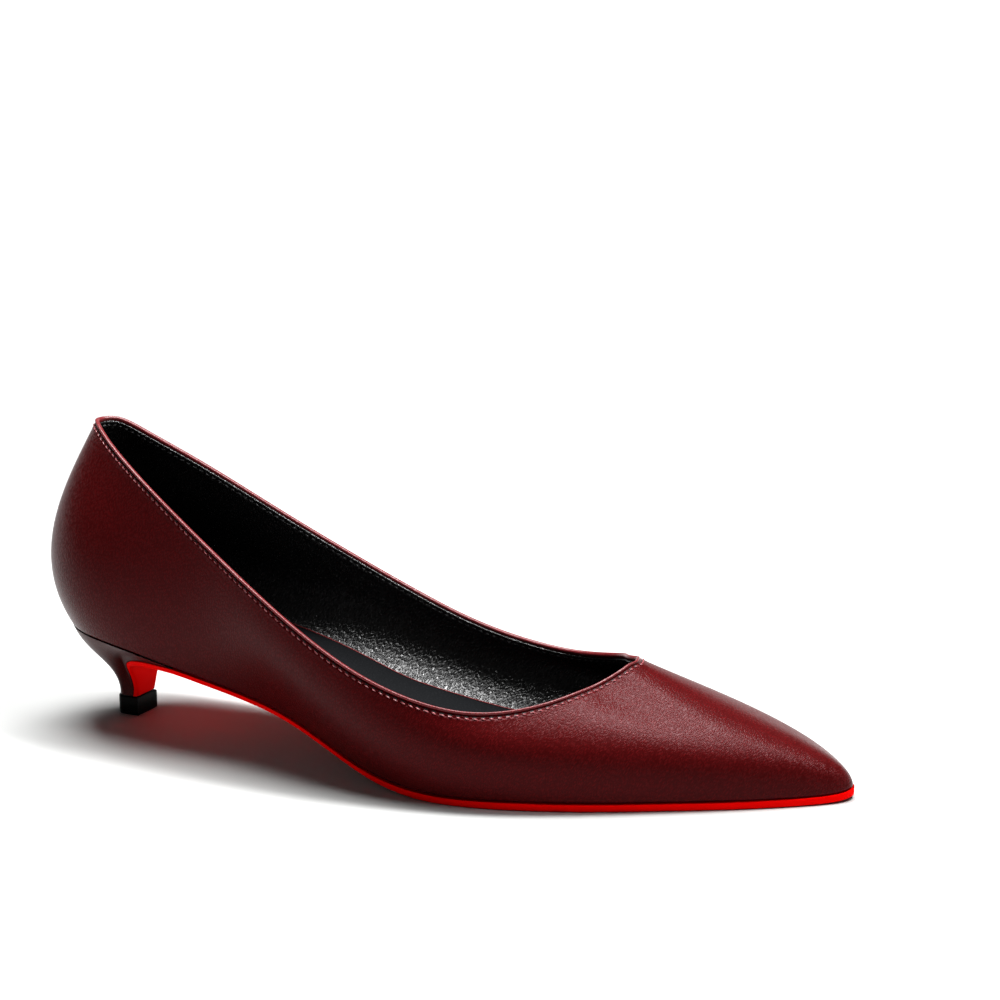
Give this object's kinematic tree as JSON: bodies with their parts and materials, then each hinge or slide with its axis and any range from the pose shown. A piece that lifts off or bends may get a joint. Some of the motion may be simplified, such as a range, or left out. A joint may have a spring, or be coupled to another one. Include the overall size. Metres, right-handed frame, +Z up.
{
  "type": "kitten heel pump",
  "caption": "Pointed slip-on pump with a low flared kitten heel, a folded topline, a thin sole that turns down the heel breast and a small top lift.",
  "frame": {"origin": "on the floor, under the middle of the part's box", "axes": "+X to the toe along the heel seat's own axis, +Y to the inner side of the foot, +Z up"},
  "size_m": [0.254, 0.0822, 0.0945],
  "materials": {
    "upper_leather": "fine-grained burgundy calf leather, semi-gloss",
    "sock_leather": "charcoal lining leather, matt",
    "sole_finish": "smooth red painted sole leather, satin gloss",
    "heel_cover": "burgundy leather stretched over the heel, semi-gloss",
    "lift_rubber": "black moulded top piece, satin"
  },
  "bodies": {
    "root": {"upper": "upper_leather", "insole": "sock_leather", "outsole": "sole_finish", "heel": "heel_cover", "top_lift": "lift_rubber"}
  },
  "joints": []
}
